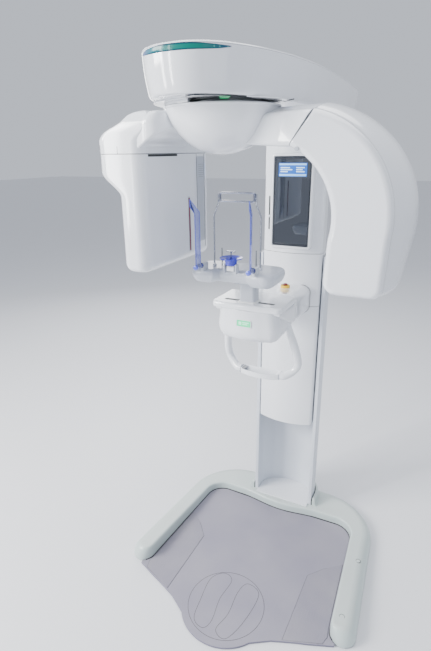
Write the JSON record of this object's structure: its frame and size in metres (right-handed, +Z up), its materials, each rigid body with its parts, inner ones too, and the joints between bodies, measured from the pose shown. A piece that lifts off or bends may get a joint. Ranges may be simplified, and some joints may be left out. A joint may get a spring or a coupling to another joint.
{
  "type": "dental panoramic and cone-beam ct scanner",
  "caption": "Standing dental CT scanner: horseshoe foot, lifting column, overhead beam, rotating arm with source and detector, chin rest and hand grip.",
  "frame": {"origin": "the point on the floor that lies under the gantry's turning axis, on the floor plate's underside", "axes": "+Z up; +Y from the patient towards the column; +X towards the X-ray source arm, with the detector at -X"},
  "size_m": [1.0177, 1.1338, 1.945],
  "materials": {
    "foot_paint": "pale grey-green satin paint",
    "plate_paint": "mauve-grey studded mat on steel",
    "column_paint": "light grey satin paint",
    "trim_grey": "pale gloss",
    "frame_steel": "grey structural paint",
    "bright_steel": "ground",
    "bronze": "machined",
    "motor_black": "black anodised",
    "tube_metal": "lead-lined housing",
    "belt_rubber": "toothed belt",
    "gloss_white": "high gloss",
    "hub_dark": "dark translucent ring",
    "bezel_dark": "black gloss",
    "mirror_face": "tinted mirror",
    "screen_blue": "lit screen",
    "lens_teal": "translucent lens, lit",
    "lens_green": "translucent lens, lit",
    "slit_red": "dark red window",
    "stop_yellow": "satin",
    "stop_red": "satin",
    "chin_grey": "satin",
    "rod_steel": "polished",
    "clear_plastic": "clear moulding",
    "cup_blue": "saturated blue",
    "temple_clear": "tinted clear moulding",
    "knob_navy": "satin"
  },
  "bodies": {
    "base": {"base_foot": "foot_paint", "floor_plate": "plate_paint", "side_panels": "column_paint", "column_trim": "trim_grey", "fixed_column": "column_paint", "guide_blocks": "bright_steel", "nut_bracket": "frame_steel", "lift_nut": "bronze"},
    "carriage": {"mast_frame": "frame_steel", "guide_rails": "bright_steel", "lift_motor": "motor_black", "cover_lower": "gloss_white", "cover_middle": "gloss_white", "cover_upper": "gloss_white", "cover_rear": "gloss_white", "mirror_bezel": "bezel_dark", "mirror_glass": "mirror_face", "status_display": "screen_blue", "beam_chassis": "frame_steel", "beam_housing": "gloss_white", "beam_top_cover": "gloss_white", "led_lens": "lens_teal", "hub_trim": "hub_dark", "bearing_outer": "bright_steel", "drive_belt": "belt_rubber", "drive_motor": "motor_black", "support_arm": "gloss_white", "support_lid": "gloss_white", "support_panel": "gloss_white", "sign_lens": "lens_green", "stop_base": "stop_yellow", "handle": "gloss_white", "hand_grip": "gloss_white"},
    "screw": {"lead_screw": "bright_steel"},
    "gantry": {"bearing_inner": "bright_steel", "drive_wheel": "bright_steel", "gantry_spine": "frame_steel", "hub_bowl": "gloss_white", "shoulder_left": "gloss_white", "shoulder_right": "gloss_white", "source_front_cover": "gloss_white", "source_rear_cover": "gloss_white", "tube_head": "tube_metal", "collimator": "motor_black", "detector_upper_cover": "gloss_white", "detector_lower_cover": "gloss_white", "detector_panel": "bezel_dark", "slit_window": "slit_red"},
    "pulley": {"motor_pulley": "bright_steel"},
    "chin_unit": {"chin_post": "chin_grey", "chin_table": "chin_grey", "head_rods": "rod_steel", "forehead_loop": "clear_plastic", "chin_cup": "cup_blue", "bite_stick": "clear_plastic", "temple_clamps": "knob_navy"},
    "temple_l": {"temple_left": "temple_clear"},
    "temple_r": {"temple_right": "temple_clear"},
    "lever": {"lever_knob": "gloss_white"},
    "stop": {"stop_button": "stop_red"}
  },
  "joints": [
    {"name": "column_lift", "type": "slide", "parent": "base", "child": "carriage", "axis": [0, 0, 1], "range_m": [-0.36, 0.3]},
    {"name": "screw_turn", "type": "hinge", "parent": "carriage", "child": "screw", "pos_m": [0, 0.708, 1.1], "axis": [0, 0, 1], "range_deg": [-6490, 5410]},
    {"name": "gantry_rotation", "type": "hinge", "parent": "carriage", "child": "gantry", "pos_m": [0, 0, 1.85], "axis": [0, 0, 1], "range_deg": [-180, 180]},
    {"name": "pulley_turn", "type": "hinge", "parent": "carriage", "child": "pulley", "pos_m": [0, 0.33, 1.9], "axis": [0, 0, 1], "range_deg": [-722, 722]},
    {"name": "chin_slide", "type": "slide", "parent": "carriage", "child": "chin_unit", "axis": [1, 0, 0], "range_m": [-0.02, 0.02]},
    {"name": "temple_right_swing", "type": "hinge", "parent": "chin_unit", "child": "temple_r", "pos_m": [0.088, 0, 1.378], "axis": [0, 1, 0], "range_deg": [-12, 10]},
    {"name": "temple_left_swing", "type": "hinge", "parent": "chin_unit", "child": "temple_l", "pos_m": [-0.088, 0, 1.378], "axis": [0, 1, 0], "range_deg": [-10, 12]},
    {"name": "lever_slide", "type": "slide", "parent": "carriage", "child": "lever", "axis": [0, 0, 1], "range_m": [-0.048, 0.07]},
    {"name": "stop_press", "type": "slide", "parent": "carriage", "child": "stop", "axis": [0, 0, -1], "range_m": [0, 0.005], "stiffness_N_per_m": 900}
  ],
  "couplings": [
    {"joint": "screw_turn", "follows": "column_lift", "rad_per_m": 314.16},
    {"joint": "pulley_turn", "follows": "gantry_rotation", "ratio": 4},
    {"joint": "temple_left_swing", "follows": "temple_right_swing", "ratio": -1}
  ]
}
